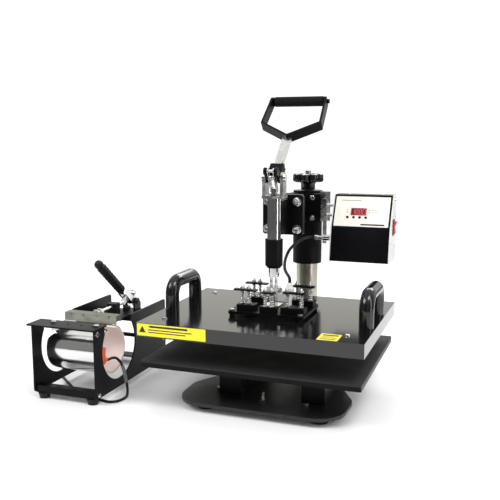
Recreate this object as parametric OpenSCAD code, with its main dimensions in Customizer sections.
// Swing-away transfer press with a flat heated platen and a free-standing mug press.
// Millimetres. Z is up from the bench, X runs to the operator's right and -Y faces the operator.
// The origin is the middle of the whole outfit's footprint, on the bench.

/* [Flat platen] */
// Width of the lower platen and its pad, left to right
platen_w = 400; // [360:10:440]
// Depth of the lower platen and its pad, front to back
platen_d = 314; // [290:2:340]
// Height of the cover's folded skirt
cover_h = 25; // [20:1:32]
// Thickness of the heating plate
heater_t = 12; // [8:1:14]
// Height of the silicone pad's top face above the bench
pad_top = 87; // [80:1:95]
// Opening between the silicone pad and the heating plate
opening = 44; // [36:1:48]

/* [Post and arm] */
// Diameter of the post
post_dia = 46; // [38:1:50]
// Distance from the press axis back to the post
reach = 236; // [225:1:250]
// Angle of the open lever above the bench, leaning back
lever_lean = 42; // [30:1:60]

/* [Control box] */
// Width of the control box between its end covers
box_w = 115; // [100:1:130]
// Depth of the control box
box_d = 74; // [60:1:90]
// Height of the control box
box_h = 129; // [120:1:150]

/* [Mug press] */
// Inner diameter of the closed heater wrap
wrap_bore = 82; // [76:1:90]
// Length of the heater wrap
wrap_len = 116; // [96:1:116]
// Outside distance across the two end plates
mug_frame_w = 134; // [132:1:150]
// Diameter of the mug heater's lead
lead_dia = 5; // [4:0.5:6]

/* [Hidden] */
$fn = 48;
gap = 0.4;

// Footprint of the whole outfit, measured from the middle of the flat platen
mug_x = -341;
mug_y = -105;
rail_over = 4;
outfit_left = mug_x - mug_frame_w / 2 - rail_over;
outfit_right = 204;
outfit_front = -193;
outfit_back = 302;
press_x = -(outfit_left + outfit_right) / 2;
press_y = -(outfit_front + outfit_back) / 2;

// Heights of the flat press
foot_h = 12;
base_t = 6;
base_top = foot_h + base_t;
pad_t = 3;
carrier_t = 4;
lower_t = 8;
lower_z = pad_top - pad_t - lower_t;
heater_z = pad_top + opening;
cover_z = heater_z + 1;
cover_top = cover_z + cover_h;
sheet_t = 2;
plate_z = cover_top + 5;
plate_t = 5;
plate_top = plate_z + plate_t;
saddle_h = 12;
stud_top = 214;
bar_z = 203;
yoke_z = 191;
yoke_top = 206;

// Press axis, guide and toggle
axis_y = 4;
post_y = axis_y + reach;
tube_r = 12.5;
bore_r = 10.5;
nut_z = 224;
collar_z = 241;
tube_z = 295;
tube_top = 371;
pivot_z = 408;
crank = 24.5;
link_len = 40;
throw = 123;
crank_open = 270 - throw;
crank_y = crank * cos(crank_open);
crank_z = crank * sin(crank_open);
rod_pin_z = pivot_z + crank_z - sqrt(link_len * link_len - crank_y * crank_y);
link_lean = asin(-crank_y / link_len);
pivot_r = 4.5;
run_fit = 0.05;

// Arm
sleeve_r = 31;
sleeve_z = 214;
arm_top = 364;
web_half = 13;
web_z = 303;
web_top = 366;
front_y = 57;
front_t = 12;
front_half = 40;
front_z = 297;
front_top = 374;
rear_y = 190;
rear_z = 308;
stud_r = 6;

// Control box, in its own frame: x across, y back, z up from its lower front edge
box_x = 79;
box_y = 118;
box_z = 240;
slope_y = 12;
slope_z = 66;
slope_back = 44;
slope_tilt = atan((slope_back - slope_y) / (box_h - slope_z));
slope_len = norm([slope_back - slope_y, box_h - slope_z]);
box_wall = 1.5;
cover_t = 2;
panel_t = 1.2;
button_r = 2.4;
button_pitch = 12.2;
button_u = 19.5;
switch_y = 42;
switch_z = 67;
port_y = 34;
port_z = 41;

// Suspension between the plunger and the cover
hang_x = 4;
hang_y = -6;
stud_spots = [[-50, -34], [-38, -34], [-50, 30], [-38, 30], [36, -34], [62, -34],
  [36, 30], [62, 30], [-2, -46], [10, -46]];
bar_spots = [[-44, -34, 44], [-44, 30, 44], [49, -34, 42], [49, 30, 42], [4, -46, 24]];

// Side handles on the cover: x of the left one and of the right one
handle_spots = [-180, 188];
handle_y = -8;
handle_span = 104;
handle_rise = 68;
handle_r = 13;

// Mug press, in its own frame: origin on the bench under the wrap's axis
wrap_z = 84;
liner_t = 3.5;
jacket_t = 1.5;
jacket_r = wrap_bore / 2 + liner_t + jacket_t;
wrap_open_front = 112;
wrap_open_back = 74;
plate3 = 3;
screw_head = 3;
frame_front = -80;
frame_back = 200;
frame_z = 12;
frame_top = 141;
cut_y = 7;
cut_z = 90;
cut_r = 62;
horn_z = 125;
horn_y = 53;
rail_front = -88;
rail_back = -44;
wrap_left = -60;
jaw_y = 13;
jaw_z = 134;
rod_z = 141;
clamp_y = 176;
clamp_z = 134;
clamp_lean = 141;
clamp_arm = 20;

// Route of the mug heater's lead from the boot to its coil, in the mug press's frame
lead_route = [[62, -34, 75], [63.5, -34, 75], [65.5, -34, 75], [70.5, -28, 77], [74.5, -20, 75],
  [78.5, -12, 65], [81.5, -6, 50], [83.5, -5, 38], [86.5, -5, 24], [90.5, -9, 11], [93.5, -17, 4],
  [94.5, -28, 2.5], [92.5, -41, 2.5], [86.5, -51, 2.5], [75.5, -55, 2.5], [61.5, -52, 2.5],
  [43.5, -46, 2.5], [15.5, -34, 2.5], [-14.5, -21, 2.5], [-42.5, 0, 2.5], [-70.5, 24, 2.5], [-92.5, 46, 2.5],
  [-110.5, 76, 2.5], [-127.5, 112, 2.5], [-140.5, 156, 2.5], [-143.5, 180, 2.5], [-143.5, 200, 2.5]];
coil_at = [-108.5, 200];
coil_in = 17.5;
coil_out = 37.5;
plug_x = -128.5;

// Route of the heater's cable from the control box to the gland, from the press's middle
cable_route = [[40, 152, 281], [37, 152, 281], [34, 152, 281], [27, 148, 281], [19, 137, 279],
  [10, 118, 272], [3, 98, 262], [1, 80, 250], [4, 60, 240], [10, 42, 232], [18, 27, 227],
  [25, 15, 225], [29, 9, 222], [30, 8, 218], [30, 8, 215.5], [30, 8, 213]];
cable_dia = 6;

// Frames
module at_press() { translate([press_x, press_y, 0]) children(); }
module at_axis() { at_press() translate([0, axis_y, 0]) children(); }
module at_mug() { at_press() translate([mug_x, mug_y, 0]) children(); }
module at_box() { at_press() translate([box_x, box_y, box_z]) children(); }
module at_pivot() { at_axis() translate([0, 0, pivot_z]) children(); }
module at_rod_pin() { at_axis() translate([0, 0, rod_pin_z]) children(); }
module at_clamp() { at_mug() translate([0, clamp_y, clamp_z]) children(); }
module on_slope() { at_box() translate([0, slope_y, slope_z]) rotate([90 - slope_tilt, 0, 0]) children(); }

// Profiles drawn in the YZ plane and extruded along X, or in XZ and along Y
module along_x(x0, t) { translate([x0, 0, 0]) rotate([90, 0, 90]) linear_extrude(t) children(); }
module along_y(y0, t) { translate([0, y0 + t, 0]) rotate([90, 0, 0]) linear_extrude(t) children(); }
module x_rod(r, x0, len) { translate([x0, 0, 0]) rotate([0, 90, 0]) cylinder(r = r, h = len); }
module y_rod(r, y0, len) { translate([0, y0, 0]) rotate([-90, 0, 0]) cylinder(r = r, h = len); }
module x_hex(r, x0, len) { translate([x0, 0, 0]) rotate([0, 90, 0]) cylinder(r = r, h = len, $fn = 6); }

// A rectangle with round corners, from its lower left corner
module round_rect(w, h, r) {
  translate([r, 0]) square([w - 2 * r, h]);
  translate([0, r]) square([w, h - 2 * r]);
  for (x = [r, w - r], y = [r, h - r]) translate([x, y]) circle(r);
}

// Sweep of a round section along a smooth curve through a route's points
function unit(v) = v / norm(v);
function spline(a, b, c, d, u) = 0.5 * ((2 * b) + (c - a) * u + (2 * a - 5 * b + 4 * c - d) * u * u
  + (3 * b - a - 3 * c + d) * u * u * u);
function smooth(p, n) = concat([for (i = [0 : len(p) - 2]) for (k = [0 : n - 1])
  spline(p[max(i - 1, 0)], p[i], p[i + 1], p[min(i + 2, len(p) - 1)], k / n)], [p[len(p) - 1]]);
function heading(p, i) = unit(p[min(i + 1, len(p) - 1)] - p[max(i - 1, 0)]);
function side(v, t) = unit(v - (v * t) * t);
module swept(route, r, n) {
  p = smooth(route, 2);
  last = len(p) - 1;
  sides = [for (i = 0, v = side([0, 0.2, 1], heading(p, 0)); i <= last;
    i = i + 1, v = side(v, heading(p, min(i, last)))) v];
  rings = [for (i = [0 : last]) for (k = [0 : n - 1])
    p[i] + r * (cos(k * 360 / n) * sides[i] + sin(k * 360 / n) * cross(heading(p, i), sides[i]))];
  walls = [for (i = [0 : last - 1]) for (k = [0 : n - 1])
    [i * n + k, i * n + (k + 1) % n, (i + 1) * n + (k + 1) % n, (i + 1) * n + k]];
  polyhedron(points = rings, faces = concat([[for (k = [n - 1 : -1 : 0]) k]],
    [[for (k = [0 : n - 1]) last * n + k]], walls));
}

// ---- Stand: base, post and lower platen ----

// Lobed steel plate: wide at the front, narrowing to the post
base_mid = 12;
lobe_x = 100;
lobe_y = -97;
lobe_r = 52;
hip_x = 108;
hip_y = -58;
hip_r = 45;
waist_x = 62;
waist_y = 60;
tail_r = 62;
module base_outline() {
  hull() {
    for (x = [base_mid - lobe_x, base_mid + lobe_x]) translate([x, lobe_y]) circle(lobe_r);
    for (x = [base_mid - hip_x, base_mid + hip_x]) translate([x, hip_y]) circle(hip_r);
    for (x = [base_mid - waist_x, base_mid + waist_x]) translate([x, waist_y]) circle(30);
  }
  hull() {
    translate([base_mid, waist_y]) circle(tail_r);
    translate([0, post_y]) circle(tail_r);
  }
}
module base_plate() {
  color("#151516") at_press() translate([0, 0, foot_h]) linear_extrude(base_t) base_outline();
}

// Rubber feet, each a low drum under a corner of the base
foot_spots = [[-88, -112], [120, -112], [-38, 262], [38, 262]];
module base_feet() {
  color("#1c1c1c") at_press() for (p = foot_spots)
    translate([p[0], p[1], 0]) cylinder(r1 = 17, r2 = 20, h = foot_h);
}

// Chrome post welded into a flange, with the threaded stud that the star knob turns on
stud_end = 412;
flange_r = 50;
flange_t = 10;
module post() {
  color("#c9c9c4") at_press() translate([0, post_y, base_top]) {
    cylinder(r = flange_r, h = flange_t);
    cylinder(r = post_dia / 2, h = arm_top - base_top - 0.1);
    cylinder(r = stud_r, h = stud_end - base_top);
  }
}

// Two channel-shaped risers with a crosswise carrier strip on each end
ped_w = 42;
ped_l = 182;
ped_y = -85;
ped_spots = [-54, 102];
ped_h = lower_z - carrier_t - base_top;
ped_wall = 6;
module pedestals() {
  color("#161617") at_press() {
    for (x = ped_spots) translate([x - ped_w / 2, ped_y, base_top]) difference() {
      cube([ped_w, ped_l, ped_h]);
      translate([ped_wall, ped_wall, -1])
        cube([ped_w - 2 * ped_wall, ped_l - 2 * ped_wall, ped_h - ped_wall + 1]);
    }
    for (y = [ped_y + 8, ped_y + ped_l - 48])
      translate([-140, y, lower_z - carrier_t]) cube([300, 40, carrier_t]);
  }
}

// Bolts of the stand: two beside the risers, the guide pin and the post's flange
pin_h = 17;
riser_bolts = [[-81.5, -70], [93, -97]];
module base_bolts() {
  color("#c8c8c4") at_press() {
    for (p = riser_bolts) translate([p[0], p[1], base_top]) cylinder(r = 5, h = 5, $fn = 6);
    translate([base_mid + 2, -100, base_top]) cylinder(r = 2.6, h = pin_h);
    translate([base_mid + 2, -100, base_top]) cylinder(r = 5, h = 4, $fn = 6);
    for (a = [45 : 90 : 315])
      translate([38 * cos(a), post_y + 38 * sin(a), base_top + flange_t]) cylinder(r = 6, h = 5, $fn = 6);
  }
}

// Lower platen and the silicone pad bonded to it
module lower_platen() {
  color("#1b1b1a") at_press() translate([-platen_w / 2, -platen_d / 2, lower_z])
    linear_extrude(lower_t) round_rect(platen_w, platen_d, 4);
}
module silicone_pad() {
  color("#262624") at_press() translate([-platen_w / 2, -platen_d / 2, pad_top - pad_t])
    linear_extrude(pad_t) round_rect(platen_w, platen_d, 4);
}

// ---- Arm: sleeve on the post, side plates, guide and toggle bracket ----

// Sleeve that turns on the post and rests on its top through a closed end
cap_t = 6;
module arm_sleeve() {
  color("#141415") at_press() translate([0, post_y, 0]) difference() {
    translate([0, 0, sleeve_z]) cylinder(r = sleeve_r, h = arm_top + cap_t - sleeve_z);
    translate([0, 0, sleeve_z - 1]) cylinder(r = post_dia / 2 + run_fit, h = arm_top - sleeve_z + 1);
    translate([0, 0, arm_top - 1]) cylinder(r = stud_r + gap, h = cap_t + 2);
  }
}

// Block clamped round the sleeve, with the flanged plate in front of it and the web to the head
block_half = 31;
module arm_block() {
  color("#171718") at_press() difference() {
    union() {
      translate([-block_half, rear_y + 6, rear_z])
        cube([2 * block_half, post_y - rear_y - 6, web_top - rear_z]);
      translate([-front_half, rear_y, rear_z])
        cube([2 * front_half, front_t, web_top - rear_z]);
      translate([-web_half, front_y + front_t, rear_z])
        cube([2 * web_half, rear_y - front_y - front_t + 1, web_top - 4 - rear_z]);
    }
    translate([0, post_y, rear_z - 1]) cylinder(r = sleeve_r, h = arm_top);
  }
}

// Front plate that faces the operator, with the neck that holds the guide tube
module arm_front_plate() {
  color("#151516") at_press() {
    translate([0, front_y + front_t, 0]) rotate([90, 0, 0]) translate([-front_half, front_z, 0])
      linear_extrude(front_t) round_rect(2 * front_half, front_top - front_z, 5);
    difference() {
      translate([-web_half, axis_y + 4, web_z]) cube([2 * web_half, front_y - axis_y - 3, web_top - web_z]);
      translate([0, axis_y, web_z - 1]) cylinder(r = tube_r, h = front_top);
    }
  }
}

// Arm fasteners: four big bolts in the front plate, four smaller ones in the rear plate and the
// control box's screws
big_spots = [[-29, 308], [29, 308], [-29, 361], [29, 361]];
small_spots = [[-24, 316], [24, 316], [-24, 358], [24, 358]];
big_head = 12;
small_head = 6;
module arm_bolts() {
  color("#d2d2ce") {
    at_press() {
      for (p = big_spots) translate([p[0], 0, p[1]]) {
        y_rod(7, front_y - big_head, big_head);
        translate([0, front_y + front_t, 0]) rotate([-90, 0, 0]) cylinder(r = 7, h = 6, $fn = 6);
      }
      for (p = small_spots) translate([p[0], 0, p[1]]) y_rod(5.5, rear_y - small_head, small_head);
    }
    at_box() {
      for (p = [[54, 119], [66, 33]]) translate([0, p[0], p[1]]) {
        x_rod(2.6, box_w + cover_t, 1.6);
        x_rod(2.6, -cover_t - 1.6, 1.6);
      }
      for (x = [26, 92]) translate([x, 60, box_h]) cylinder(r = 2.6, h = 1.6);
    }
  }
}

// Guide tube with the nut that closes its lower end round the twin rods
twin_x = 4.6;
twin_r = 3;
module guide_tube() {
  color("#a9a9a6") at_axis() {
    difference() {
      translate([0, 0, tube_z]) cylinder(r = tube_r, h = tube_top - tube_z);
      translate([0, 0, tube_z - 1]) cylinder(r = bore_r, h = tube_top);
    }
    difference() {
      translate([0, 0, nut_z]) cylinder(r = bore_r, h = collar_z - nut_z);
      for (x = [-twin_x, twin_x]) translate([x, 0, nut_z - 1]) cylinder(r = twin_r + gap, h = 40);
    }
  }
}

// Black collar under the guide tube
collar_r = 16.5;
module guide_collar() {
  color("#121213") at_axis() difference() {
    union() {
      translate([0, 0, collar_z + 5]) cylinder(r = collar_r, h = tube_z - collar_z - 5);
      translate([0, 0, collar_z]) cylinder(r1 = collar_r - 4, r2 = collar_r, h = 5);
    }
    translate([0, 0, collar_z - 1]) cylinder(r = bore_r, h = tube_z);
  }
}

// Zinc bracket on the guide tube: a base ring with two cheeks for the lever's pivot
cheek_in = 14;
cheek_t = 6;
ring_t = 4.5;
module toggle_bracket() {
  color("#b9beb9") at_axis() {
    difference() {
      translate([-cheek_in - cheek_t, -14, tube_top]) cube([2 * (cheek_in + cheek_t), 32, ring_t]);
      translate([0, 0, tube_top - 1]) cylinder(r = tube_r, h = ring_t + 2);
    }
    for (x = [-cheek_in - cheek_t, cheek_in]) difference() {
      along_x(x, cheek_t) union() {
        translate([-11, tube_top + ring_t]) square([22, pivot_z - tube_top - ring_t]);
        translate([0, pivot_z]) circle(11);
      }
      translate([0, 0, pivot_z]) x_rod(pivot_r, x - 1, cheek_t + 2);
    }
  }
}
module pivot_pin() {
  color("#d0d0cc") at_pivot() {
    x_rod(pivot_r, -cheek_in - cheek_t, 2 * (cheek_in + cheek_t));
    for (x = [-cheek_in - cheek_t - 3, cheek_in + cheek_t]) x_rod(7, x, 3);
  }
}

// Star knob on the post's stud
knob_z = 371;
knob_lobes = 8;
knob_r = 33;
rim_t = 17;
module star_knob() {
  color("#0f0f10") at_press() translate([0, post_y, 0]) difference() {
    union() {
      translate([0, 0, knob_z]) cylinder(r = 15, h = 18);
      translate([0, 0, knob_z + 17]) cylinder(r = 24, h = rim_t);
      for (i = [0 : knob_lobes - 1]) rotate(i * 360 / knob_lobes)
        translate([knob_r - 9, 0, knob_z + 17]) cylinder(r = 9, h = rim_t);
    }
    translate([0, 0, knob_z - 1]) cylinder(r = stud_r + gap, h = 40);
  }
}

// ---- Control box ----

// Bracket from the rear plate: a zinc strip, the black plate in front of it and two standoffs
module control_bracket() {
  color("#8b8b86") at_press() {
    translate([front_half - 4, rear_y + front_t, rear_z + 2]) cube([22, 3, 61]);
    translate([43, rear_y + front_t, 262]) cube([8, 3, rear_z - 258]);
    translate([44, rear_y - 10, rear_z + 3]) cube([12, 22, 46]);
    for (z = [324, 344]) translate([0, rear_y - 4, z]) x_rod(3.5, 55, box_x - cover_t - 55);
  }
}

// Folded casing: its side outline, hollowed, with holes for the buttons
module box_outline() {
  polygon([[0, 0], [slope_y - 5, slope_z - 23], [slope_y, slope_z], [slope_back, box_h],
    [box_d, box_h], [box_d, 0]]);
}
module control_shell() {
  color("#1a1a1c") difference() {
    at_box() difference() {
      along_x(0, box_w) box_outline();
      along_x(-1, box_w + 2) offset(delta = -box_wall) box_outline();
    }
    on_slope() for (i = [0 : 3])
      translate([button_u + i * button_pitch + 10, 22, -box_wall - 3]) cylinder(r = button_r + gap, h = 8);
    at_box() translate([0, box_d - 12, 28]) for (x = [30, 62]) translate([x, 0, 0]) y_rod(6, 0, 20);
  }
}

// Pale grey end covers; the right one has the switch's opening
switch_w = 15;
switch_h = 26;
module control_end_covers() {
  color("#d7d8d4") at_box() {
    difference() {
      along_x(-cover_t, cover_t) box_outline();
      translate([0, port_y, port_z]) x_rod(6, -cover_t - 1, cover_t + 2);
    }
    difference() {
      along_x(box_w, cover_t) box_outline();
      translate([box_w - 1, switch_y - switch_w / 2 - gap, switch_z - switch_h / 2 - gap])
        cube([cover_t + 2, switch_w + 2 * gap, switch_h + 2 * gap]);
    }
  }
}

// Cream membrane on the sloping face, with holes for its four buttons
module control_panel() {
  color("#e9e6da") on_slope() difference() {
    translate([3, 3, 0]) linear_extrude(panel_t) round_rect(box_w - 6, slope_len - 7, 2);
    for (i = [0 : 3]) translate([button_u + i * button_pitch + 10, 22, -1])
      cylinder(r = button_r + gap, h = 4);
  }
}

// One of the panel's buttons: a short plunger standing a little proud of the membrane
module panel_button(i) {
  color("#55565a") on_slope() translate([button_u + i * button_pitch + 10, 22, -box_wall])
    cylinder(r = button_r, h = box_wall + panel_t + 1);
}
module panel_button_1() { panel_button(0); }
module panel_button_2() { panel_button(1); }
module panel_button_3() { panel_button(2); }
module panel_button_4() { panel_button(3); }

// Chrome cable connector on the box's left end
module cable_connector() {
  color("#cfcfca") at_box() translate([0, port_y, port_z]) {
    x_rod(6, -14, 16);
    x_hex(9, -9, 7);
    x_rod(4.2, -39, 25);
    x_rod(6.4, -22, 8);
    x_rod(5.4, -39, 6);
  }
}

// Circuit board on pillars inside the casing, with its transformer and relay
module control_board() {
  color("#2f6b45") at_box() {
    translate([14, box_d - 16, 18]) cube([86, 1.6, 92]);
    for (x = [22, 90], z = [26, 102]) translate([x, 0, z]) y_rod(2.5, box_d - 14.4, 14.4 - box_wall);
    translate([58, box_d - 42, 52]) cube([34, 26, 32]);
    translate([24, box_d - 30, 60]) cube([20, 14, 26]);
  }
}

// Rocker switch on the right end cover, pivoting about a short axle across its middle
module rocker_switch() {
  color("#b01822") at_box() translate([box_w, switch_y, switch_z])
    along_y(-switch_w / 2, switch_w)
      polygon([[-6, -10], [-6, 10], [2, 12], [9.5, 11.5], [4.5, 0], [6.5, -12], [2, -12]]);
}

// ---- Lever, in the pivot's own frame: the lever points along +Y before it is leaned back ----

module leaned() { at_pivot() rotate([lever_lean, 0, 0]) children(); }
crank_turn = crank_open - lever_lean;
fork_in = 8;
fork_t = 5;
web_at = 22;

// Black bell-crank fork: two cheeks from the crank end and the web between them that holds the bar
module lever_fork() {
  color("#131314") leaned() {
    for (x = [-fork_in - fork_t, fork_in]) difference() {
      along_x(x, fork_t) union() {
        circle(9.5);
        rotate(crank_turn) translate([0, -6.5]) square([crank, 13]);
        rotate(crank_turn) translate([crank, 0]) circle(6.5);
        translate([0, -8]) square([web_at + 8, 16]);
      }
      x_rod(pivot_r + run_fit, x - 1, fork_t + 2);
    }
    translate([-fork_in, 6, -8]) cube([2 * fork_in, web_at + 2, 16]);
  }
}

// Flat steel bar from the fork to the loop
bar_w = 18;
bar_t = 6;
bar_end = 108;
module lever_bar() {
  color("#cfcfc9") leaned() {
    translate([-bar_w / 2, web_at + 8, -bar_t / 2]) cube([bar_w, bar_end - web_at - 8, bar_t]);
    translate([-fork_in + 1, web_at + 8, -7]) cube([2 * fork_in - 2, 12, 14]);
    translate([0, web_at + 14, 0]) x_hex(4.5, -fork_in - 3, 2 * fork_in + 6);
  }
}

// Five-sided strap loop; its top bar carries the grip
loop_top = 217;
loop_pts = [[0, bar_end - 1], [59, 144], [56, loop_top], [-56, loop_top], [-59, 144]];
strap_w = 20;
strap_t = 4.5;
grip_r = 10;
module lever_loop() {
  color("#111112") leaned() {
    translate([0, 0, -strap_w / 2]) linear_extrude(strap_w) difference() {
      offset(r = strap_t / 2) polygon(loop_pts);
      offset(delta = -strap_t / 2) polygon(loop_pts);
      translate([-50, loop_top - 9]) square([100, 20]);
    }
    translate([0, loop_top, 0]) x_rod(4, -52, 104);
    for (x = [-62, 58]) translate([0, loop_top, 0]) x_hex(5, x, 4);
  }
}

// Foam tube on the loop's top bar
module loop_grip() {
  color("#18181a") leaned() translate([0, loop_top, 0]) difference() {
    x_rod(grip_r, -49, 98);
    x_rod(4, -50, 100);
  }
}

// Pair of zinc links between the plunger's eye and the crank, with the crank pin between them
link_w = 5.2;
link_in = 4.3;
link_t = 2;
eye_bore = 3;
module toggle_link() {
  color("#b7bcb8") at_rod_pin() rotate([link_lean, 0, 0]) {
    for (x = [-link_in - link_t, link_in]) along_x(x, link_t) {
      translate([-link_w, 0]) square([2 * link_w, link_len]);
      circle(link_w);
      translate([0, link_len]) circle(link_w);
    }
    x_rod(eye_bore, -link_in, 2 * link_in);
    translate([0, 0, link_len]) x_rod(eye_bore, -link_in, 2 * link_in);
  }
}

// ---- Plunger and everything that hangs from it ----

// Guided piston with an eye above it and twin rods below
piston_z = 302;
piston_h = 60;
rods_z = 200;
module plunger_rod() {
  color("#c4c4c0") at_axis() {
    for (x = [-twin_x, twin_x]) translate([x, 0, rods_z]) cylinder(r = twin_r, h = piston_z - rods_z);
    translate([0, 0, piston_z]) cylinder(r = bore_r - run_fit, h = piston_h);
    translate([0, 0, piston_z + piston_h]) cylinder(r = 6, h = rod_pin_z - piston_z - piston_h - 8);
    difference() {
      along_x(-4, 8) {
        translate([-6, piston_z + piston_h]) square([12, rod_pin_z - piston_z - piston_h]);
        translate([0, rod_pin_z]) circle(6);
      }
      translate([0, 0, rod_pin_z]) x_rod(eye_bore + run_fit, -5, 10);
    }
  }
}

// Zinc yoke: a drilled head on the twin rods, a web down to its foot, and a cross bolt
module swivel_yoke() {
  color("#9fb0ab") at_press() translate([0, axis_y, 0]) {
    difference() {
      translate([-11, -11, yoke_z]) cube([22, 22, yoke_top - yoke_z]);
      for (x = [-twin_x, twin_x]) translate([x, 0, rods_z]) cylinder(r = twin_r, h = 20);
    }
    translate([-5, -9, plate_top + 4]) cube([10, 18, yoke_z - plate_top - 4]);
    translate([-14, -14, plate_top]) cube([28, 28, 4]);
    translate([0, 0, yoke_z + 7]) x_hex(4.5, 11, 6);
    translate([0, 0, yoke_z + 7]) x_hex(4.5, -15, 4);
  }
}

// Black plate on four spacers, with the two saddle blocks bolted to it
hang_w = 144;
hang_d = 110;
module mounting_plate() {
  color("#121213") at_press() translate([hang_x, hang_y, 0]) {
    translate([-hang_w / 2, -hang_d / 2, plate_z]) linear_extrude(plate_t) round_rect(hang_w, hang_d, 4);
    for (x = [-65, 65], y = [-50, 50]) translate([x, y, cover_top]) cylinder(r = 5, h = plate_z - cover_top);
    for (b = [[-58, 34], [26, 44]], y = [-45, 19]) translate([b[0], y, plate_top]) cube([b[1], 22, saddle_h]);
    translate([-12, -50, plate_top]) cube([32, 9, saddle_h]);
  }
}

// Studs with a nut above and below the springs, and the mounting plate's four bolts
stud_dia = 5;
module spring_studs() {
  color("#d6d6d2") at_press() translate([hang_x, hang_y, 0]) {
    for (p = stud_spots) translate([p[0], p[1], 0]) {
      translate([0, 0, plate_top + saddle_h]) cylinder(r = stud_dia / 2, h = stud_top - plate_top - saddle_h);
      translate([0, 0, bar_z + 3]) cylinder(r = 4.2, h = 4.5, $fn = 6);
    }
    for (x = [-65, 65], y = [-50, 50]) translate([x, y, plate_top]) cylinder(r = 4.5, h = 4, $fn = 6);
  }
}

// Springs between the saddle blocks and the cross bars, each as its outer tube
spring_r = 4.4;
module leveling_springs() {
  color("#dededa") at_press() translate([hang_x, hang_y, 0]) for (p = stud_spots)
    translate([p[0], p[1], plate_top + saddle_h]) difference() {
      cylinder(r = spring_r, h = bar_z - plate_top - saddle_h);
      translate([0, 0, -1]) cylinder(r = spring_r - 1.6, h = 40);
    }
}

// Dark cross bars that tie the studs together in pairs
module spring_bars() {
  color("#2a2a2a") at_press() translate([hang_x, hang_y, bar_z]) for (b = bar_spots)
    difference() {
      translate([b[0] - b[2] / 2, b[1] - 6, 0]) cube([b[2], 12, 3]);
      for (p = stud_spots) translate([p[0], p[1], -1]) cylinder(r = stud_dia / 2, h = 5);
    }
}

// Folded sheet cover, open below, drilled for its corner screws
screw_spots = [[-168, -118], [168, -118], [-168, 118], [168, 118]];
cover_w = platen_w + 8;
cover_d = platen_d + 4;
module platen_cover() {
  color("#1a1a1a") at_press() {
    difference() {
      translate([-cover_w / 2, -cover_d / 2, cover_z]) cube([cover_w, cover_d, cover_h]);
      translate([-cover_w / 2 + sheet_t, -cover_d / 2 + sheet_t, cover_z - 1])
        cube([cover_w - 2 * sheet_t, cover_d - 2 * sheet_t, cover_h - sheet_t + 1]);
      for (p = screw_spots) translate([p[0], p[1], cover_z]) cylinder(r = 3.2, h = cover_h + 1);
    }
  }
}
module insulation_board() {
  color("#cdbb94") at_press() difference() {
    translate([-185, -140, heater_z + heater_t]) cube([370, 280, 8]);
    for (p = screw_spots) translate([p[0], p[1], heater_z]) cylinder(r = 3.2, h = 40);
  }
}

// Cast heating plate with the cover's corner screws standing in it
module heating_plate() {
  color("#3a3a3b") at_press() {
    translate([-190, -145, heater_z]) linear_extrude(heater_t) round_rect(380, 290, 6);
    for (p = screw_spots) translate([p[0], p[1], heater_z + heater_t]) {
      cylinder(r = 3, h = cover_top - heater_z - heater_t);
      translate([0, 0, cover_top - heater_z - heater_t]) cylinder(r = 4.5, h = 2.6);
    }
  }
}

// Thick bridge handles along both side edges of the cover
bridge_r = 24;
module bridge_handle() {
  run = handle_span / 2 - bridge_r;
  for (s = [-1, 1]) {
    translate([0, s * handle_span / 2, 0]) cylinder(r = handle_r, h = handle_rise - handle_r - bridge_r);
    translate([0, s * run, handle_rise - handle_r - bridge_r]) rotate([90, 0, s > 0 ? 90 : -90])
      rotate_extrude(angle = 90) translate([bridge_r, 0]) circle(handle_r);
  }
  translate([0, 0, handle_rise - handle_r]) y_rod(handle_r, -run, 2 * run);
}
module platen_handles() {
  color("#0e0e0f") at_press() for (x = handle_spots)
    translate([x, handle_y, cover_top]) bridge_handle();
}

// White cable gland on a slim conduit from the mounting plate
gland_at = [30, 8];
module cable_gland() {
  color("#dcdcd6") at_press() translate([gland_at[0], gland_at[1], 0]) {
    translate([0, 0, plate_top]) cylinder(r = 4, h = 198 - plate_top);
    translate([0, 0, 198]) cylinder(r = 8, h = 7, $fn = 6);
    translate([0, 0, 205]) cylinder(r1 = 7, r2 = 4.5, h = 8);
  }
}
module heater_cable() { color("#0d0d0d") at_press() swept(cable_route, cable_dia / 2, 10); }

// ---- Mug press, in its own frame ----

// Side outline of an end plate: round cut-out, open at the top between two horns
module end_outline() {
  difference() {
    translate([frame_front, frame_z]) round_rect(frame_back - frame_front, frame_top - frame_z, 5);
    translate([cut_y, cut_z]) circle(cut_r);
    translate([rail_back - 1, horn_z]) square([horn_y - rail_back + 1, 40]);
  }
}
module mug_plate_left() {
  color("#141516") at_mug() along_x(-mug_frame_w / 2, plate3) end_outline();
}
module mug_plate_right() {
  color("#141516") at_mug() along_x(mug_frame_w / 2 - plate3, plate3) end_outline();
}

// Rails between the end plates: top front, bottom front, rear ties and the clamp's rear beam
inner_w = mug_frame_w - 2 * plate3;
beam_z = 104;
beam_t = 10;
module mug_rails() {
  color("#17181a") at_mug() {
    translate([-mug_frame_w / 2 - rail_over, rail_front, frame_top]) difference() {
      cube([mug_frame_w + 2 * rail_over, rail_back - rail_front, 3]);
      for (x = [72, 100, 124]) translate([x, 26, -1]) cylinder(r = 2.5, h = 5);
    }
    translate([-inner_w / 2, frame_front + 4, 11]) cube([inner_w, 16, 14]);
    translate([-inner_w / 2, 172, frame_z]) cube([inner_w, 26, 3]);
    translate([-inner_w / 2, 182, 55]) cube([inner_w, 7, 7]);
    translate([-inner_w / 2, 132, beam_z]) cube([inner_w, 60, beam_t]);
  }
}

// Conical rubber feet
module mug_feet() {
  color("#101010") at_mug() for (x = [-52, 52], y = [-68, 185]) translate([x, y, 0])
    cylinder(r1 = 9, r2 = 12, h = y < 0 ? 11 : 12);
}

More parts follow.
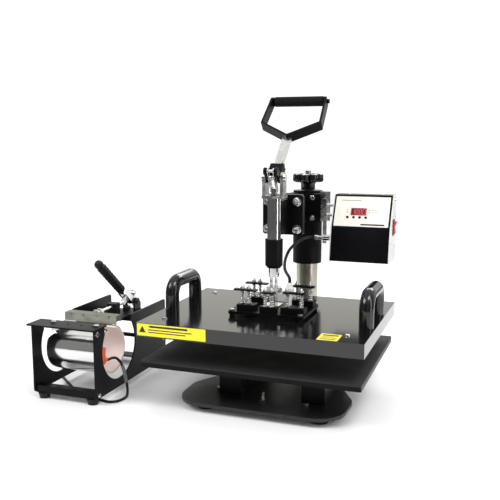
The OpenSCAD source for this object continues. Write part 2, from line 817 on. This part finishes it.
// Frame screws: outside the end plates and on the top rail
module mug_screws() {
  color("#cfcfcb") at_mug() {
    for (p = [[-70, 18], [185, 58], [142, 109], [178, 109]]) translate([0, p[0], p[1]]) {
      x_rod(3.6, mug_frame_w / 2, screw_head);
      x_rod(3.6, -mug_frame_w / 2 - screw_head, screw_head);
    }
    for (x = [-30, 60]) translate([x, -62, frame_top + 3]) cylinder(r = 4.6, h = 4, $fn = 6);
    translate([0, -74, 134]) x_hex(5, mug_frame_w / 2, 4);
  }
}

// C-shaped wrap: a section round the wrap's axis, open over the top
module c_section(r, t) {
  difference() {
    circle(r + t);
    circle(r);
    polygon([[0, 0], 80 * [cos(wrap_open_back), sin(wrap_open_back)], [0, 80],
      80 * [cos(wrap_open_front), sin(wrap_open_front)]]);
  }
}
// Bright jacket with a sloping flap up to the top rail
flap_y = -46;
flap_z = frame_top - wrap_z;
module wrap_jacket() {
  color("#c9cac9") at_mug() translate([0, 0, wrap_z]) along_x(wrap_left, wrap_len) {
    c_section(wrap_bore / 2 + liner_t, jacket_t);
    polygon([[-19.3, 40.3], [-16.6, 42.1], [flap_y, flap_z], [flap_y - 14, flap_z],
      [flap_y - 14, flap_z - jacket_t], [flap_y - 1, flap_z - jacket_t]]);
  }
}
module wrap_liner() {
  color("#e0cdc8") at_mug() translate([0, 0, wrap_z])
    along_x(wrap_left, wrap_len) c_section(wrap_bore / 2, liner_t);
}

// Orange boot at the liner's right end, where the lead comes out
boot_in = 33;
boot_out = 41;
boot_from = 158;
boot_to = 206;
module wrap_boot() {
  color("#e0552a") at_mug() translate([wrap_left + wrap_len, 0, wrap_z]) {
    along_x(0, 4) intersection() {
      difference() {
        circle(boot_out);
        circle(boot_in);
      }
      polygon([[0, 0], for (a = [boot_from, (boot_from + boot_to) / 2, boot_to]) 60 * [cos(a), sin(a)]]);
    }
    translate([0, -34, 75 - wrap_z]) x_rod(3.5, 4, 2);
  }
}

// Galvanised channel that draws the wrap's rear edge forward
jaw_w = 114;
jaw_d = 20;
jaw_h = 11;
module jaw_channel() {
  color("#a9aaa3") at_mug() translate([0, jaw_y, 0]) {
    difference() {
      translate([-jaw_w / 2, 0, jaw_z]) cube([jaw_w, jaw_d, jaw_h]);
      translate([-jaw_w / 2 + 2, 2, jaw_z + 2]) cube([jaw_w - 4, jaw_d - 4, jaw_h - 4]);
    }
    translate([-jaw_w / 2, 0, 128.8]) cube([jaw_w, 1.6, jaw_z - 128.8 + 1]);
    for (x = [-44, -17, 12, 40]) translate([x, 0, jaw_z + jaw_h - 3.5]) y_rod(2.4, -1.5, 2.5);
  }
}

// Push rod with its nuts and the link up to the lever's crank
rod_end_y = 140;
link_rise = clamp_z + clamp_arm - rod_z;
link_tilt = atan2(link_rise, clamp_y - rod_end_y);
link_run = norm([clamp_y - rod_end_y, link_rise]);
module clamp_rod() {
  color("#c3c2b8") at_mug() {
    translate([0, 0, rod_z]) {
      y_rod(4, jaw_y + jaw_d, rod_end_y - jaw_y - jaw_d);
      translate([0, jaw_y + jaw_d, 0]) rotate([-90, 0, 0]) cylinder(r = 8, h = 6, $fn = 6);
      translate([0, jaw_y + jaw_d + 12, 0]) rotate([-90, 0, 0]) cylinder(r = 8, h = 6, $fn = 6);
    }
    difference() {
      along_x(-3.5, 7) {
        translate([rod_end_y, rod_z]) circle(5.2);
        translate([clamp_y, clamp_z + clamp_arm]) circle(6.5);
        translate([rod_end_y, rod_z]) rotate(link_tilt) translate([0, -4]) square([link_run, 8]);
      }
      translate([0, clamp_y, clamp_z + clamp_arm]) x_rod(4.2, -5, 10);
    }
  }
}

// Cast bracket on the rear beam: guide block for the rod and two ears for the lever
foot_z = beam_z + beam_t;
foot_t = 4;
module clamp_bracket() {
  color("#17161a") at_mug() {
    difference() {
      translate([-10, 92, foot_z + foot_t]) cube([20, 18, rod_z + 7 - foot_z - foot_t]);
      translate([0, 0, rod_z]) y_rod(4 + run_fit, 90, 24);
    }
    translate([-20, 92, foot_z]) cube([40, 98, foot_t]);
    for (x = [-14.5, 10.5]) difference() {
      along_x(x, 4) {
        translate([clamp_y - 13, foot_z + foot_t]) square([26, clamp_z - foot_z - foot_t]);
        translate([clamp_y, clamp_z]) circle(10);
      }
      translate([0, clamp_y, clamp_z]) x_rod(4, x - 1, 6);
    }
    translate([0, clamp_y, clamp_z]) x_rod(4, -16, 32);
  }
}

// Zinc lever plates either side of the link, joined by the tang that holds the grip
tang_at = 44;
tang_end = 68;
module clamp_lever() {
  color("#b4bdb8") at_clamp() difference() {
    union() {
      for (x = [-9.5, 5.5]) along_x(x, 4) {
        circle(9);
        translate([-5.5, 0]) square([11, clamp_arm]);
        translate([0, clamp_arm]) circle(5.5);
        rotate(clamp_lean) translate([0, -6]) square([tang_at + 6, 12]);
      }
      rotate([clamp_lean, 0, 0]) translate([-7, tang_at + 1, -5.4]) cube([14, 8, 10.8]);
      rotate([clamp_lean, 0, 0]) y_rod(5, tang_at + 5, tang_end - tang_at - 5);
      translate([0, 0, clamp_arm]) x_rod(3, -10.5, 21);
    }
    x_rod(4 + run_fit, -12, 24);
  }
}

// Ribbed black grip with a ball-shaped end
grip_at = 54;
grip_end = 170;
module clamp_grip() {
  color("#161417") at_clamp() rotate([clamp_lean, 0, 0]) {
    translate([0, grip_at, 0]) difference() {
      union() {
        y_rod(8.5, 0, grip_end - grip_at - 8);
        for (i = [0 : 9]) translate([0, 2 + i * 10.4, 0]) y_rod(9.6, 0, 6);
        translate([0, grip_end - grip_at - 9, 0]) sphere(9);
      }
      y_rod(5, -1, tang_end - grip_at + 1);
    }
  }
}

// Lead of the mug heater: its loose run, its flat coil's outer shape, and the plug beyond the coil
module mug_lead() { color("#0d0d0d") at_mug() swept(lead_route, lead_dia / 2, 8); }
module lead_coil() {
  color("#0d0d0d") at_mug() translate([coil_at[0], coil_at[1], 0])
    rotate_extrude() translate([coil_in, 0]) square([coil_out - coil_in, lead_dia]);
}
module lead_plug() {
  color("#2b2b2d") at_mug() translate([plug_x, coil_at[1], 7.2]) {
    y_rod(3.4, 36, 12);
    y_rod(5, 48, 16);
    y_rod(7, 64, 30);
  }
}

base_plate();
base_feet();
post();
pedestals();
base_bolts();
lower_platen();
silicone_pad();
arm_sleeve();
arm_block();
arm_front_plate();
arm_bolts();
guide_tube();
guide_collar();
toggle_bracket();
pivot_pin();
star_knob();
control_bracket();
control_shell();
control_end_covers();
control_panel();
cable_connector();
control_board();
rocker_switch();
panel_button_1();
panel_button_2();
panel_button_3();
panel_button_4();
lever_fork();
lever_bar();
lever_loop();
loop_grip();
toggle_link();
plunger_rod();
swivel_yoke();
mounting_plate();
spring_studs();
leveling_springs();
spring_bars();
platen_cover();
insulation_board();
heating_plate();
platen_handles();
cable_gland();
heater_cable();
mug_plate_left();
mug_plate_right();
mug_rails();
mug_feet();
mug_screws();
wrap_jacket();
wrap_liner();
wrap_boot();
jaw_channel();
clamp_rod();
clamp_bracket();
clamp_lever();
clamp_grip();
mug_lead();
lead_coil();
lead_plug();
